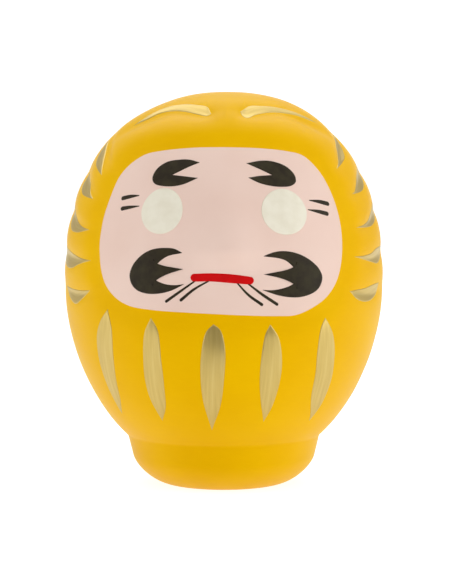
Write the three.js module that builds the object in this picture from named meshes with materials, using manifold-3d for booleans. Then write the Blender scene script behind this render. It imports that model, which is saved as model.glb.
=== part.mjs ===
// Daruma doll: a papier-mache shell in two glued halves, a clay weight, a card disc
// and the coats of paint. Millimetres, +Z up, the face looks along -Y.
// The origin is the middle of the resting face.
import * as THREE from 'three';
import Module from 'manifold-3d';

const wasm = await Module();
wasm.setup();

// ---- driving dimensions ------------------------------------------------------
const HEIGHT = 100;
const WIDTH = 81.4;
const DEPTH = 79.6;
const NOSE_PROUD = 1.7;          // how far the nose tip stands past the body's front
const WIDEST = 52.8;              // height of the widest ring
const WAIST = 12.4;              // height where the belly meets the foot
const WAIST_DIA = 49.2;
const FOOT_DIA = 43.2;           // of the foot's cone, carried on to the ground
const FOOT_EDGE = 7.2;           // height of the foot's rounded lower edge
const EDGE_POWER = 1.8;          // of the foot's lower edge; 2 is an ellipse, less is flatter
const REST_DIA = 28;             // flat face the doll stands on
const CROWN_POWER = 2.22;        // 2 is an ellipse, more is squarer
const CROWN_LEAN = 0.8;          // how far the crown leans towards +X
const WALL = 2.6;
const FLOOR = 2.0;
const RIM = 2;                   // width of the shell's flat rim round the disc
const DISC_THICKNESS = 1.2;
const WEIGHT_TOP = 14;
const STRIP_WIDTH = 9;
const STRIP_THICKNESS = 0.5;
const SEAM_GAP = 0.3;
const FIT_GAP = 0.3;
const COAT_GAP = 0.05;
const COAT = 0.25;
const MOUTH_GAP = 0.15;          // bare strip left between the mouth and the whiskers

// relief of the moulded shell
const FACE_SUNK = 1.1;
const ROLL_EASE = 3.6;           // how far from the face the roll rounds down to it
const CROWN_GROOVE = 1.2;
const CREASE_DEPTH = 1.0;
const NOSE_TIP = 2.0;
const NOSE_BRIDGE = 0.9;
const EYE_SWELL = 0.7;

const HALF_W = WIDTH / 2;
const FRONT = DEPTH / 2 - NOSE_PROUD;
const REAR = DEPTH / 2;
const OPENING_DIA = REST_DIA - 2 * RIM;
const RAD = Math.PI / 180;

// ---- body surface: a turned profile, a little shallower than it is wide ---------
const waistShare = WAIST_DIA / WIDTH;
const BELLY_DROP = (WIDEST - WAIST) / Math.sqrt(1 - waistShare * waistShare);
const FOOT_FLARE = (WAIST_DIA - FOOT_DIA) / 2 / WAIST;

function profileRadius(z) {
  if (z <= WAIST) {
    const cone = FOOT_DIA / 2 + FOOT_FLARE * z;
    const t = 1 - Math.min(1, Math.max(0, z / FOOT_EDGE));
    return REST_DIA / 2 + (cone - REST_DIA / 2) * (1 - t ** EDGE_POWER) ** (1 / EDGE_POWER);
  }
  if (z <= WIDEST) return HALF_W * Math.sqrt(1 - ((WIDEST - z) / BELLY_DROP) ** 2);
  const s = Math.min(1, (z - WIDEST) / (HEIGHT - WIDEST));
  return HALF_W * (1 - s ** CROWN_POWER) ** (1 / CROWN_POWER);
}

function smooth(low, high, value) {
  const t = Math.min(1, Math.max(0, (value - low) / (high - low)));
  return t * t * (3 - 2 * t);
}

// around: degrees from the front, positive towards +X; r, z: a point of the profile
function place(around, r, z) {
  const reach = Math.cos(around * RAD) > 0 ? FRONT : REAR;
  const ratio = 1 + (reach / HALF_W - 1) * smooth(WAIST, WIDEST, z);
  const lean = CROWN_LEAN * smooth(0.89 * HEIGHT, 0.985 * HEIGHT, z);
  return new THREE.Vector3(r * Math.sin(around * RAD) + lean, -r * ratio * Math.cos(around * RAD), z);
}

// up: height in hundredths of HEIGHT
function onBody(around, up) {
  const z = up / 100 * HEIGHT;
  return place(around, profileRadius(z), z);
}

// ---- outlines and creases, as [around, up] ---------------------------------------
// both halves of the face's outline, from the middle of its top to the middle of its foot
const FACE_LEFT = [
  [0, 86.7], [-15.3, 86.5], [-31, 85.7], [-39.2, 84.7], [-45.1, 82.4], [-48.6, 79.3], [-50.2, 73.4],
  [-51.6, 66], [-50.6, 58.5], [-47.8, 53.2], [-42.9, 49.8], [-36.3, 47.7], [-27, 46.9], [-10, 46.4],
  [5, 45.9],
];
const FACE_RIGHT = [
  [0, 86.7], [15, 86.5], [30.7, 85.6], [38.5, 84.5], [42.3, 82.4], [45.5, 79], [47.6, 73.4],
  [48.3, 66], [46.9, 58.6], [44.2, 53.6], [39.5, 49.9], [32.6, 47.1], [26.2, 45.6], [20, 45.5],
  [5, 45.9],
];

// middle and half sizes, in the same two measures
const EYES = {
  eye_left: [-23.4, 70.95, 8.25, 5.6],
  eye_right: [22.8, 70.75, 9.1, 5.6],
};

// each mark: its outer edge, then the runs of its inner edge between the same two tips
const INKS = {
  eyebrow_left: [[[-10.3, 82.9], [-15, 83.6], [-20, 83.6], [-25.9, 82.9], [-29.6, 81], [-30.3, 79.1],
    [-28.8, 77.7], [-23.2, 76.9], [-17, 77.3], [-10.3, 79.1]],
    [[-10.3, 82.9], [-15.4, 81.6], [-21.2, 79.8]], [[-21.2, 79.8], [-15.8, 79.5], [-10.3, 79.1]]],
  eyebrow_right: [[[9.5, 82.7], [16.5, 83.4], [22.4, 83.1], [27.9, 81.7], [30.4, 79.7], [30.2, 78.2],
    [27.6, 77.1], [23.6, 76.8], [19.1, 77], [14, 77.8], [9.7, 79.1]],
    [[9.5, 82.7], [14.4, 81.4], [19.9, 79.8]], [[19.9, 79.8], [14.4, 79.6], [9.7, 79.1]]],
  beard_left: [[[-14.4, 60.9], [-17.5, 61.9], [-20.8, 62.1], [-25.8, 61.7], [-30.1, 60.3], [-33.9, 57.7],
    [-35.3, 55.2], [-34.5, 53.1], [-32.2, 51.6], [-28.2, 50.8], [-23, 50.9], [-18.1, 51.8],
    [-13.6, 53.4]],
    [[-14.4, 60.9], [-20.3, 59.9], [-24.7, 57.7]], [[-24.7, 57.7], [-19.8, 57.5], [-14, 57]],
    [[-14, 57], [-19.7, 55.8], [-25.7, 54.6]],
    [[-25.7, 54.6], [-21.4, 53.4], [-17.3, 53.1], [-13.6, 53.4]]],
  beard_right: [[[13.5, 60.1], [17.8, 61.1], [21.9, 61.3], [27, 60.6], [32.2, 58.8], [35.9, 56.5],
    [37.1, 54.6], [36.3, 52.7], [34, 51.2], [29.4, 50.1], [25.1, 49.9], [19.4, 50.5], [13.1, 52]],
    [[13.5, 60.1], [21.8, 59], [26, 56.6]], [[26, 56.6], [19.3, 56.3], [13.8, 55.7]],
    [[13.8, 55.7], [20.1, 54.8], [26.5, 53.8]],
    [[26.5, 53.8], [22.6, 52.6], [17.7, 51.9], [13.1, 52]]],
};

// bars of paint: the middle line, each point with the bar's half width there in mm
const BARS = {
  mouth: [[-10.2, 54.95, 1.0], [-4.3, 55.05, 1.04], [2.5, 54.75, 1.12], [9, 54.25, 1.0]],
  whisker_left_outer: [[-9.9, 54.2, 0.2], [-15, 51.7, 0.32], [-20.4, 49.1, 0.38]],
  whisker_left_inner: [[-5.2, 54.2, 0.2], [-10.4, 52.1, 0.32], [-15, 49.5, 0.4]],
  whisker_right_inner: [[4.2, 54.0, 0.18], [8.5, 50.8, 0.32], [13.3, 48.4, 0.4]],
  whisker_right_outer: [[8, 53.7, 0.2], [13.5, 50.8, 0.36], [18.8, 48.4, 0.4]],
  temple_mark_left_upper: [[-34.4, 74.65, 0.14], [-38.5, 74.4, 0.48], [-42.3, 73.95, 0.56]],
  temple_mark_left_lower: [[-33.3, 72.05, 0.12], [-37.8, 71.75, 0.44], [-41.4, 71.4, 0.56]],
  temple_mark_right_upper: [[34.4, 73.5, 0.14], [39.5, 73.1, 0.5], [43.2, 72.6, 0.58]],
  temple_mark_right_lower: [[32.9, 71.2, 0.12], [37.9, 70.7, 0.48], [41.8, 70.15, 0.58]],
};

// each stroke of gold: its two edges, both from the brush's first touch to its last
const GOLD = {
  crown_stroke_left: [[[-10.1, 94.8], [-14.3, 96.1], [-27, 96.8], [-43.3, 96.9], [-55.3, 96.3],
    [-61.2, 95], [-67, 91.7]],
    [[-10.1, 94.8], [-12.4, 94.5], [-20.2, 95], [-32.5, 95.6], [-45.6, 95.7], [-55.2, 94.9],
    [-60.5, 93.4], [-67, 91.7]]],
  crown_stroke_right: [[[9.8, 95.2], [17.6, 96.4], [30, 96.6], [45.1, 96.4], [55.4, 95.6], [63.6, 94.3],
    [72, 92.2]],
    [[9.8, 95.2], [11.4, 94.2], [14.2, 93.8], [19.5, 94.7], [30.5, 95.4], [43.4, 95.5],
    [55.7, 94.7], [65.3, 93.2], [72, 92.2]]],
  side_stroke_right_1: [[[86, 89.6], [77, 86.2], [71.1, 83.9], [64.4, 82.5], [55.3, 80.9]],
    [[86, 89.6], [70.6, 86.7], [64, 84.2], [60, 82.5], [55.3, 80.9]]],
  side_stroke_right_2: [[[82, 81.2], [84, 79.2], [79.5, 77], [73, 75.4], [60, 74.6]],
    [[82, 81.2], [72, 78.8], [68, 76.8], [64.5, 75.4], [60, 74.6]]],
  side_stroke_right_3: [[[84, 72.2], [86, 69.8], [81, 67.8], [73.5, 66.5], [66, 66.2], [56.5, 66.3]],
    [[84, 72.2], [75, 69.9], [70, 68], [65, 67.1], [56.5, 66.3]]],
  side_stroke_right_4: [[[84, 61.2], [82, 58.8], [74, 56.9], [67.6, 57.4], [60, 58.3], [53, 59.2]],
    [[84, 61.2], [72, 60.7], [66.5, 59.7], [60, 59.3], [53, 59.2]]],
  side_stroke_right_5: [[[74, 52.1], [73, 49.8], [67.5, 48.1], [59.5, 47.8], [54, 48.8], [50, 50.8]],
    [[74, 52.1], [66.5, 51.8], [60.5, 51.2], [55, 51], [50, 50.8]]],
  side_stroke_left_1: [[[-84, 88], [-80, 85.2], [-74.5, 82.4], [-67, 80.6], [-59.8, 79.2]],
    [[-84, 88], [-73, 85.2], [-65.5, 82.2], [-59.8, 79.2]]],
  side_stroke_left_2: [[[-82, 79.8], [-80, 76.8], [-74.5, 74.6], [-68, 73.8], [-60.5, 73.4]],
    [[-82, 79.8], [-72, 77.8], [-66.5, 75.2], [-60.5, 73.4]]],
  side_stroke_left_3: [[[-84, 71.4], [-82.5, 68.2], [-77, 65.5], [-69, 64.8], [-58.5, 65.8]],
    [[-84, 71.4], [-77, 69.2], [-71, 67.4], [-65, 66.4], [-58.5, 65.8]]],
  side_stroke_left_4: [[[-85, 61], [-86, 58.2], [-78, 55.9], [-70.5, 55.8], [-64, 57], [-55.5, 58.2]],
    [[-85, 61], [-76, 60], [-69, 59.2], [-63, 58.6], [-55.5, 58.2]]],
  side_stroke_left_5: [[[-79.5, 51], [-75, 48.6], [-67, 46.9], [-61.5, 48.4], [-55.5, 50.8]],
    [[-79.5, 51], [-71, 50.6], [-63.5, 50.5], [-55.5, 50.8]]],
  belly_stroke_1: [[[-45.1, 46.6], [-49.7, 43.2], [-52.8, 39.5], [-54.8, 34], [-55.3, 27], [-55, 19.6]],
    [[-45.1, 46.6], [-43.6, 42], [-44.8, 36], [-47, 30], [-49.8, 24], [-55, 19.6]]],
  belly_stroke_2: [[[-26.5, 45], [-29, 41.5], [-30.9, 35.1], [-32.1, 29.1], [-32, 24.5], [-29.6, 19.1]],
    [[-26.5, 45], [-23.6, 41.8], [-23.4, 34.3], [-23.8, 29], [-25.4, 23], [-29.6, 19.1]]],
  belly_stroke_3: [[[-3.6, 43.8], [-6.4, 41.7], [-8.3, 36], [-8.9, 30], [-8.5, 24.5], [-5.8, 17]],
    [[-3.6, 43.8], [-1, 42.2], [0.5, 38], [0.3, 31.5], [-1.4, 23.5], [-5.8, 17]]],
  belly_stroke_4: [[[16.5, 43.6], [14.5, 41], [13.5, 35.1], [13.7, 30], [15.3, 24.5], [18.5, 19.1]],
    [[16.5, 43.6], [19.7, 40.3], [21.8, 34.5], [22.1, 29.4], [20.9, 23.2], [18.5, 19.1]]],
  belly_stroke_5: [[[38.1, 44.8], [36.2, 42], [36.1, 36.5], [37.3, 31.6], [39, 25], [45.1, 18.3]],
    [[38.1, 44.8], [42.6, 40.3], [45.8, 34], [47.6, 28], [47.5, 22.6], [45.1, 18.3]]],
};

// creases pressed into the hood: [around, up, share of the full depth]
const CREASES = [
  [[50, 80.4, 0.0], [59, 81.8, 0.7], [67, 84.4, 1.0], [76, 87.4, 0.7], [85, 89.4, 0.3], [98, 90.4, 0.0]],
  [[51, 73.8, 0.0], [61, 74.6, 0.7], [70, 76.4, 1.0], [79, 78.8, 0.8], [89, 79.9, 0.4], [104, 80.4, 0.0]],
  [[50, 66.4, 0.0], [63, 66.2, 0.8], [73, 67.6, 1.0], [82, 69.4, 0.8], [91, 70.2, 0.4], [106, 70.4, 0.0]],
  [[49, 59.4, 0.0], [63, 58.2, 0.8], [72, 58.4, 0.9], [82, 59.2, 0.6], [91, 59.6, 0.3], [106, 59.6, 0.0]],
  [[47, 51.8, 0.0], [58, 50.2, 0.7], [67, 49.6, 0.8], [78, 50.4, 0.4], [90, 51.4, 0.1], [104, 51.6, 0.0]],
];
const CROWN_LINE = [
  [0, 95.2, 0.15], [7, 95.0, 0.35], [14, 94.6, 0.9], [30, 95.0, 1.0], [46, 94.8, 1.0],
  [58, 92.6, 0.9], [68, 90.2, 0.5], [76, 88.6, 0.0],
];
const NOSE = { around: 1.5, top: 82, tip: 61.6, foot: 56.6 };

// ---- curves in space ----------------------------------------------------------------
function spline(points, perStep) {
  if (points.length < 3) return points;
  const knots = points.map((p) => new THREE.Vector3(p[0], p[1], p[2] ?? 0));
  const line = new THREE.CatmullRomCurve3(knots, false, 'centripetal');
  return line.getPoints((points.length - 1) * perStep).map((p) => [p.x, p.y, p.z]);
}

// a closed loop: forwards along one edge and back along the runs of the other
function outline([there, ...back], perStep) {
  const home = back.flatMap((run) => spline(run, perStep).slice(0, -1));
  return [...spline(there, perStep), ...home.reverse()].slice(0, -1);
}

function bodyLine(points, perStep) {
  return spline(points, perStep).map(([around, up, share]) => ({ at: onBody(around, up), share }));
}

function mirrored(points) {
  return points.map(([around, up, share]) => [-around, up, share]);
}

const creaseLines = CREASES.flatMap((c) => [bodyLine(c, 5), bodyLine(mirrored(c), 5)]);
const crownLines = [bodyLine(CROWN_LINE, 5), bodyLine(mirrored(CROWN_LINE), 5)];
const faceLoop = outline([FACE_RIGHT, FACE_LEFT], 3);
const faceEdge = faceLoop.map(([around, up]) => onBody(around, up));

// distance from a point to a line of samples, and the depth share there
function nearest(line, at) {
  let best = { distance: Infinity, share: 0 };
  for (let i = 0; i + 1 < line.length; i += 1) {
    const step = line[i + 1].at.clone().sub(line[i].at);
    const along = at.clone().sub(line[i].at).dot(step) / step.lengthSq();
    const t = Math.min(1, Math.max(0, along));
    const distance = line[i].at.clone().addScaledVector(step, t).distanceTo(at);
    if (distance < best.distance) {
      best = { distance, share: line[i].share + (line[i + 1].share - line[i].share) * t };
    }
  }
  return best;
}

function insideFace(around, up) {
  let inside = false;
  for (let i = 0, j = faceLoop.length - 1; i < faceLoop.length; j = i, i += 1) {
    const [ax, ay] = faceLoop[i];
    const [bx, by] = faceLoop[j];
    if ((ay > up) !== (by > up) && around < (bx - ax) * (up - ay) / (by - ay) + ax) inside = !inside;
  }
  return inside;
}

function bell(distance, width) {
  return Math.exp(-((distance / width) ** 2));
}

const edgeLine = [...faceEdge, faceEdge[0]].map((at) => ({ at, share: 1 }));
const eyeSpots = Object.values(EYES).map(([around, up]) => onBody(around, up));

// height of the moulded relief over the turned body, in mm
function relief(around, up) {
  if (Math.abs(around) > 112 || up < 38) return 0;
  const at = onBody(around, up);
  let height = 0;
  for (const line of creaseLines) {
    const { distance, share } = nearest(line, at);
    height -= CREASE_DEPTH * share * (0.6 * bell(distance, 3.1) + 0.4 * bell(distance, 1.5));
  }
  const crown = Math.max(...crownLines.map((line) => {
    const { distance, share } = nearest(line, at);
    return share * (0.65 * bell(distance, 4.2) + 0.35 * bell(distance, 2.1));
  }));
  height -= CROWN_GROOVE * crown;
  const edge = nearest(edgeLine, at).distance;
  const inside = insideFace(around, up);
  height -= FACE_SUNK * (inside ? 1 : bell(edge, ROLL_EASE));
  if (inside) {
    const settle = smooth(0, 4, edge);
    const aside = (around - NOSE.around) * RAD * HALF_W;
    const ridge = smooth(NOSE.foot, NOSE.tip + 0.5, up) * smooth(NOSE.top + 4, NOSE.top - 12, up);
    const tip = bell((up - NOSE.tip) / 100 * HEIGHT, up > NOSE.tip ? 9 : 4.2) * bell(aside, 7.6);
    height += settle * (NOSE_BRIDGE * ridge * bell(aside, 7) + NOSE_TIP * tip);
    for (const spot of eyeSpots) height += settle * EYE_SWELL * bell(spot.distanceTo(at), 6.5);
  }
  return height;
}

// ---- closed solids from rings ---------------------------------------------------------
function solid(triangles, points) {
  const mesh = new wasm.Mesh({
    numProp: 3,
    vertProperties: new Float32Array(points.flatMap((p) => [p.x, p.y, p.z])),
    triVerts: new Uint32Array(triangles.flat()),
  });
  mesh.merge();
  return new wasm.Manifold(mesh);
}

// rings run from the bottom to the top, each anticlockwise seen from above
function ringSolid(rings, bottom, top) {
  const n = rings[0].length;
  const points = [bottom, ...rings.flat(), top];
  const last = points.length - 1;
  const triangles = [];
  for (let j = 0; j < n; j += 1) {
    const k = (j + 1) % n;
    triangles.push([0, 1 + k, 1 + j]);
    triangles.push([last, 1 + (rings.length - 1) * n + j, 1 + (rings.length - 1) * n + k]);
    for (let i = 0; i + 1 < rings.length; i += 1) {
      const [a, b, c, d] = [i * n + j, i * n + k, (i + 1) * n + k, (i + 1) * n + j].map((v) => v + 1);
      triangles.push([a, b, c], [a, c, d]);
    }
  }
  return solid(triangles, points);
}

function normalAt(around, r, z, dr, dz) {
  const step = 0.05;
  const at = place(around, r, z);
  const across = place(around + step, r, z).sub(at);
  const along = place(around, r + dr * step, z + dz * step).sub(at);
  return across.cross(along).normalize();
}

// stations of the profile with the direction of travel, bottom to top
function stations(heights) {
  return heights.map((z) => {
    const low = Math.max(0, z - 0.2);
    const high = Math.min(HEIGHT - 1e-4, z + 0.2);
    const dr = profileRadius(high) - profileRadius(low);
    const dz = high - low;
    const length = Math.hypot(dr, dz);
    return { z, r: profileRadius(z), dr: dr / length, dz: dz / length };
  });
}

function range(from, to, count) {
  return Array.from({ length: count }, (_, i) => from + (to - from) * i / (count - 1));
}

const crownHeights = range(0.10, 0.96, 9).map((t) => HEIGHT * (0.9 + 0.1 * Math.sin(t * Math.PI / 2)));
const outerHeights = [
  ...[0, 0.02, 0.08, 0.22, 0.5, 1].map((t) => t * FOOT_EDGE),
  WAIST,
  ...range(WAIST + 3, 0.43 * HEIGHT, 9),
  ...range(0.455 * HEIGHT, 0.9 * HEIGHT, 22),
  ...crownHeights,
];
const outerArounds = [...range(-92, 92, 53), ...range(105, 255, 13)];
const innerHeights = [
  FLOOR + 1.2,
  0.75 * FOOT_EDGE,
  (FOOT_EDGE + WAIST) / 2,
  WAIST,
  ...range(WAIST + 5, 0.9 * HEIGHT, 12),
  ...[0.94, 0.972, 0.99].map((t) => t * HEIGHT),
];
const innerArounds = range(-180, 165, 24);

// the outside of the doll, grown outwards by a distance
const reliefGrid = outerHeights.map((z) => outerArounds.map((around) => relief(around, z / HEIGHT * 100)));
function outside(grow) {
  const rings = stations(outerHeights).map(({ z, r, dr, dz }, i) => outerArounds.map((around, j) => {
    const at = place(around, r, z);
    return at.addScaledVector(normalAt(around, r, z, dr, dz), reliefGrid[i][j] + grow);
  }));
  const crown = new THREE.Vector3(CROWN_LEAN, 0, HEIGHT + grow);
  return ringSolid(rings, new THREE.Vector3(0, 0, rings[0][0].z), crown);
}

// the smooth inside of the doll, shrunk inwards by a distance; its floor is flat
function inside(shrink) {
  const rings = stations(innerHeights).map(({ z, r, dr, dz }) => innerArounds.map((around) => {
    const at = place(around, r, z).addScaledVector(normalAt(around, r, z, dr, dz), -WALL - shrink);
    return at;
  }));
  const floor = FLOOR + shrink;
  const sole = rings[0].map((p) => new THREE.Vector3(p.x * 0.97, p.y * 0.97, floor));
  const crown = new THREE.Vector3(CROWN_LEAN, 0, HEIGHT - WALL - shrink);
  return ringSolid([sole, ...rings], new THREE.Vector3(0, 0, floor), crown);
}

function fromGeometry(geometry) {
  const flat = geometry.index ? geometry.toNonIndexed() : geometry;
  const position = flat.getAttribute('position');
  const points = [];
  const index = new Map();
  const corners = [];
  for (let i = 0; i < position.count; i += 1) {
    const p = new THREE.Vector3().fromBufferAttribute(position, i);
    const key = [p.x, p.y, p.z].map((v) => Math.round(v * 1e4)).join();
    if (!index.has(key)) {
      index.set(key, points.length);
      points.push(p);
    }
    corners.push(index.get(key));
  }
  const triangles = [];
  for (let i = 0; i < corners.length; i += 3) {
    const [a, b, c] = corners.slice(i, i + 3);
    if (a !== b && b !== c && a !== c) triangles.push([a, b, c]);
  }
  return solid(triangles, points);
}

function box(low, high) {
  const geometry = new THREE.BoxGeometry(high[0] - low[0], high[1] - low[1], high[2] - low[2]);
  geometry.translate((low[0] + high[0]) / 2, (low[1] + high[1]) / 2, (low[2] + high[2]) / 2);
  return fromGeometry(geometry);
}

function turned(points, sides) {
  const geometry = new THREE.LatheGeometry(points.map(([r, z]) => new THREE.Vector2(r, z)), sides);
  geometry.rotateX(Math.PI / 2);
  return fromGeometry(geometry);
}

// a straight-sided cutter through the body, along the way the outline faces
function cutter(loop) {
  const points = loop.map(([around, up]) => onBody(around, up));
  const facing = new THREE.Vector3();
  for (const [around, up] of loop) {
    const { z, r, dr, dz } = stations([up / 100 * HEIGHT])[0];
    facing.add(normalAt(around, r, z, dr, dz));
  }
  facing.normalize();
  const right = new THREE.Vector3(0, 0, 1).cross(facing).normalize();
  const upward = facing.clone().cross(right);
  const flat = points.map((p) => new THREE.Vector2(p.dot(right), p.dot(upward)));
  if (THREE.ShapeUtils.area(flat) < 0) flat.reverse();
  const depths = points.map((p) => p.dot(facing));
  const low = Math.min(...depths) - 4;
  const high = Math.max(...depths) + 5;
  const settings = { depth: high - low, bevelEnabled: false, steps: 1 };
  const geometry = new THREE.ExtrudeGeometry(new THREE.Shape(flat), settings);
  geometry.applyMatrix4(new THREE.Matrix4().makeBasis(right, upward, facing)
    .setPosition(facing.clone().multiplyScalar(low)));
  return fromGeometry(geometry);
}

function ellipseLoop([around, up, halfAround, halfUp], count) {
  return range(0, 2 * Math.PI, count + 1).slice(0, -1).map((t) => [
    around + halfAround * Math.cos(t), up + halfUp * Math.sin(t)]);
}

// a bar with round ends along a curve, grown all round by a distance
function barLoop(middle, grow = 0) {
  const line = spline(middle, 3);
  const r = profileRadius(line.reduce((sum, p) => sum + p[1], 0) / line.length / 100 * HEIGHT);
  const at = line.map(([around, up]) => new THREE.Vector2(around * RAD * r, up / 100 * HEIGHT));
  const last = at.length - 1;
  const heading = at.map((p, i) => at[Math.min(i + 1, last)].clone().sub(at[Math.max(i - 1, 0)]).angle());
  const point = (i, turn) => {
    const angle = heading[i] + turn;
    const w = line[i][2] + grow;
    return [(at[i].x + w * Math.cos(angle)) / r / RAD, (at[i].y + w * Math.sin(angle)) / HEIGHT * 100];
  };
  const middleOf = range(1, last - 1, last - 1);
  return [
    ...range(0, Math.PI, 6).map((t) => point(last, t - Math.PI / 2)),
    ...middleOf.map((i) => point(i, Math.PI / 2)).reverse(),
    ...range(0, Math.PI, 6).map((t) => point(0, t + Math.PI / 2)),
    ...middleOf.map((i) => point(i, -Math.PI / 2)),
  ];
}

// ---- materials ----------------------------------------------------------------------------
const COLOURS = {
  robe_paint: 0xe8ae00,
  raw_paper: 0xb9a27c,
  raw_clay: 0xa48b6d,
  grey_card: 0xa79b86,
  face_paint: 0xecd3c8,
  eye_paint: 0xe9e6da,
  black_ink: 0x2b2520,
  red_lacquer: 0xc01a20,
  gold_paint: 0xc9b878,
};
const materials = Object.fromEntries(Object.entries(COLOURS).map(([name, color]) => {
  const material = new THREE.MeshStandardMaterial({ color, roughness: 0.6, metalness: 0 });
  material.name = name;
  return [name, material];
}));

const doll = new THREE.Group();
doll.name = 'daruma_doll';

function add(name, body, material) {
  const mesh = body.getMesh();
  const geometry = new THREE.BufferGeometry();
  geometry.setAttribute('position', new THREE.BufferAttribute(mesh.vertProperties, 3));
  geometry.setIndex(new THREE.BufferAttribute(mesh.triVerts, 1));
  geometry.computeVertexNormals();
  const part = new THREE.Mesh(geometry, materials[material]);
  part.name = name;
  doll.add(part);
}

// ---- shell, weight and disc ------------------------------------------------------------------
const far = 2 * Math.max(HEIGHT, WIDTH, DEPTH);
const openingTop = FLOOR + 0.5;
const opening = turned([[0, -1], [OPENING_DIA / 2, -1], [OPENING_DIA / 2, openingTop], [0, openingTop]], 36);
const shell = outside(0).subtract(inside(0)).subtract(opening);
add('shell_front', shell.intersect(box([-far, -far, -far], [far, -SEAM_GAP / 2, far])), 'robe_paint');
add('shell_rear', shell.intersect(box([-far, SEAM_GAP / 2, -far], [far, far, far])), 'robe_paint');

const slug = inside(FIT_GAP).intersect(box([-far, -far, -far], [far, far, WEIGHT_TOP]));
add('base_weight', slug, 'raw_clay');

const discRadius = OPENING_DIA / 2 - FIT_GAP;
const discEdge = [[0, 0], [discRadius, 0], [discRadius, DISC_THICKNESS], [0, DISC_THICKNESS]];
add('base_disc', turned(discEdge, 36), 'grey_card');

const lining = inside(FIT_GAP).subtract(inside(FIT_GAP + STRIP_THICKNESS));
const stripLow = WEIGHT_TOP + 2;
const stripMid = (stripLow + 0.86 * HEIGHT) / 2;
const stripTop = 0.86 * HEIGHT;
const STRIPS = {
  seam_strip_left_lower: [-far, -2, stripLow, stripMid - 1],
  seam_strip_left_upper: [-far, -2, stripMid + 1, stripTop - 1],
  seam_strip_crown: [-far, far, stripTop + 1, far],
  seam_strip_right_upper: [2, far, stripMid + 1, stripTop - 1],
  seam_strip_right_lower: [2, far, stripLow, stripMid - 1],
};
for (const [name, [x0, x1, z0, z1]] of Object.entries(STRIPS)) {
  add(name, lining.intersect(box([x0, -STRIP_WIDTH / 2, z0], [x1, STRIP_WIDTH / 2, z1])), 'raw_paper');
}

// ---- coats of paint ------------------------------------------------------------------------------
function coat(level) {
  const low = COAT_GAP + level * (COAT + COAT_GAP);
  return outside(low + COAT).subtract(outside(low));
}
const firstCoat = coat(0);
const secondCoat = coat(1);

add('face_coat', firstCoat.intersect(cutter(faceLoop)), 'face_paint');
for (const [name, eye] of Object.entries(EYES)) {
  add(name, secondCoat.intersect(cutter(ellipseLoop(eye, 28))), 'eye_paint');
}
for (const [name, runs] of Object.entries(INKS)) {
  add(name, secondCoat.intersect(cutter(outline(runs, 2))), 'black_ink');
}
const { mouth, ...lines } = BARS;
add('mouth', secondCoat.intersect(cutter(barLoop(mouth))), 'red_lacquer');
const clearOfMouth = cutter(barLoop(mouth, MOUTH_GAP));
for (const [name, middle] of Object.entries(lines)) {
  add(name, secondCoat.intersect(cutter(barLoop(middle))).subtract(clearOfMouth), 'black_ink');
}
for (const [name, runs] of Object.entries(GOLD)) {
  add(name, firstCoat.intersect(cutter(outline(runs, 2))), 'gold_paint');
}

export default doll;
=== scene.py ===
"""Daruma doll: papier-mache shell, clay weight, card disc and hand-brushed coats of paint.

Metres, +Z up, the face looks along -Y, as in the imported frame. Lengths in this
script are named in millimetres and turned to metres when a mesh is written.
"""
import math

import bmesh
import bpy
import numpy as np
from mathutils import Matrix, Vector


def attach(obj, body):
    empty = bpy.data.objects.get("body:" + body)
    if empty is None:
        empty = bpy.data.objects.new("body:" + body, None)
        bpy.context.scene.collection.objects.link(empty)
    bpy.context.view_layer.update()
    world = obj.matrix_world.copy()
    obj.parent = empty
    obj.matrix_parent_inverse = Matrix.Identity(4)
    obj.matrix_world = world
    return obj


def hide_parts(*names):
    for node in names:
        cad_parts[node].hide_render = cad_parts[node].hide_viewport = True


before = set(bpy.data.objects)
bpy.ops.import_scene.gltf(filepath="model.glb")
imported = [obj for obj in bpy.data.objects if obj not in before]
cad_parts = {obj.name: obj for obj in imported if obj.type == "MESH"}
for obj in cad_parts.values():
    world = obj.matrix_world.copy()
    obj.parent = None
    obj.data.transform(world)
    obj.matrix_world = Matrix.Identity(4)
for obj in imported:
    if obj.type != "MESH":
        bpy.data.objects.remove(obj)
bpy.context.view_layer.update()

MM = 0.001

# ---- sizes of the doll, in mm ------------------------------------------------
HEIGHT = 100.0
WIDTH = 81.4
DEPTH = 79.6
NOSE_PROUD = 1.7
WIDEST = 52.8
WAIST = 12.4
WAIST_DIA = 49.2
FOOT_DIA = 43.2
FOOT_EDGE = 7.2
EDGE_POWER = 1.8
REST_DIA = 28.0
CROWN_POWER = 2.22
CROWN_LEAN = 0.8
WALL = 2.6
FLOOR = 2.0
RIM = 2.0
DISC_THICKNESS = 1.2
DISC_GAP = 0.3
DISC_ROUND = 0.25
FLOOR_BEND = 1.2        # height over which the hollow's wall turns into its floor
CORNER_SHARE = 0.97     # of the hollow's radius there, where the flat floor begins
SHARP_CORNER = 50       # degrees between faces past which an edge is shaded sharp

FACE_SUNK = 1.1
ROLL_EASE = 3.6
CROWN_GROOVE = 1.2
CREASE_DEPTH = 1.0
NOSE_TIP = 2.0
NOSE_BRIDGE = 0.9
EYE_SWELL = 0.7
# how far each bell of the relief reaches, and the wide bell's share where there are two
CREASE_WIDE = 3.1
CREASE_SHARP = 1.5
CREASE_WIDE_SHARE = 0.6
GROOVE_WIDE = 4.2
GROOVE_SHARP = 2.1
GROOVE_WIDE_SHARE = 0.65
FACE_SETTLE = 4.0
NOSE_RIDGE_REACH = 7.0
NOSE_TIP_REACH = 7.6
NOSE_TIP_ABOVE = 9.0
NOSE_TIP_BELOW = 4.2
EYE_SWELL_REACH = 6.5
PAPER_SWELL = 0.055

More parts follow.
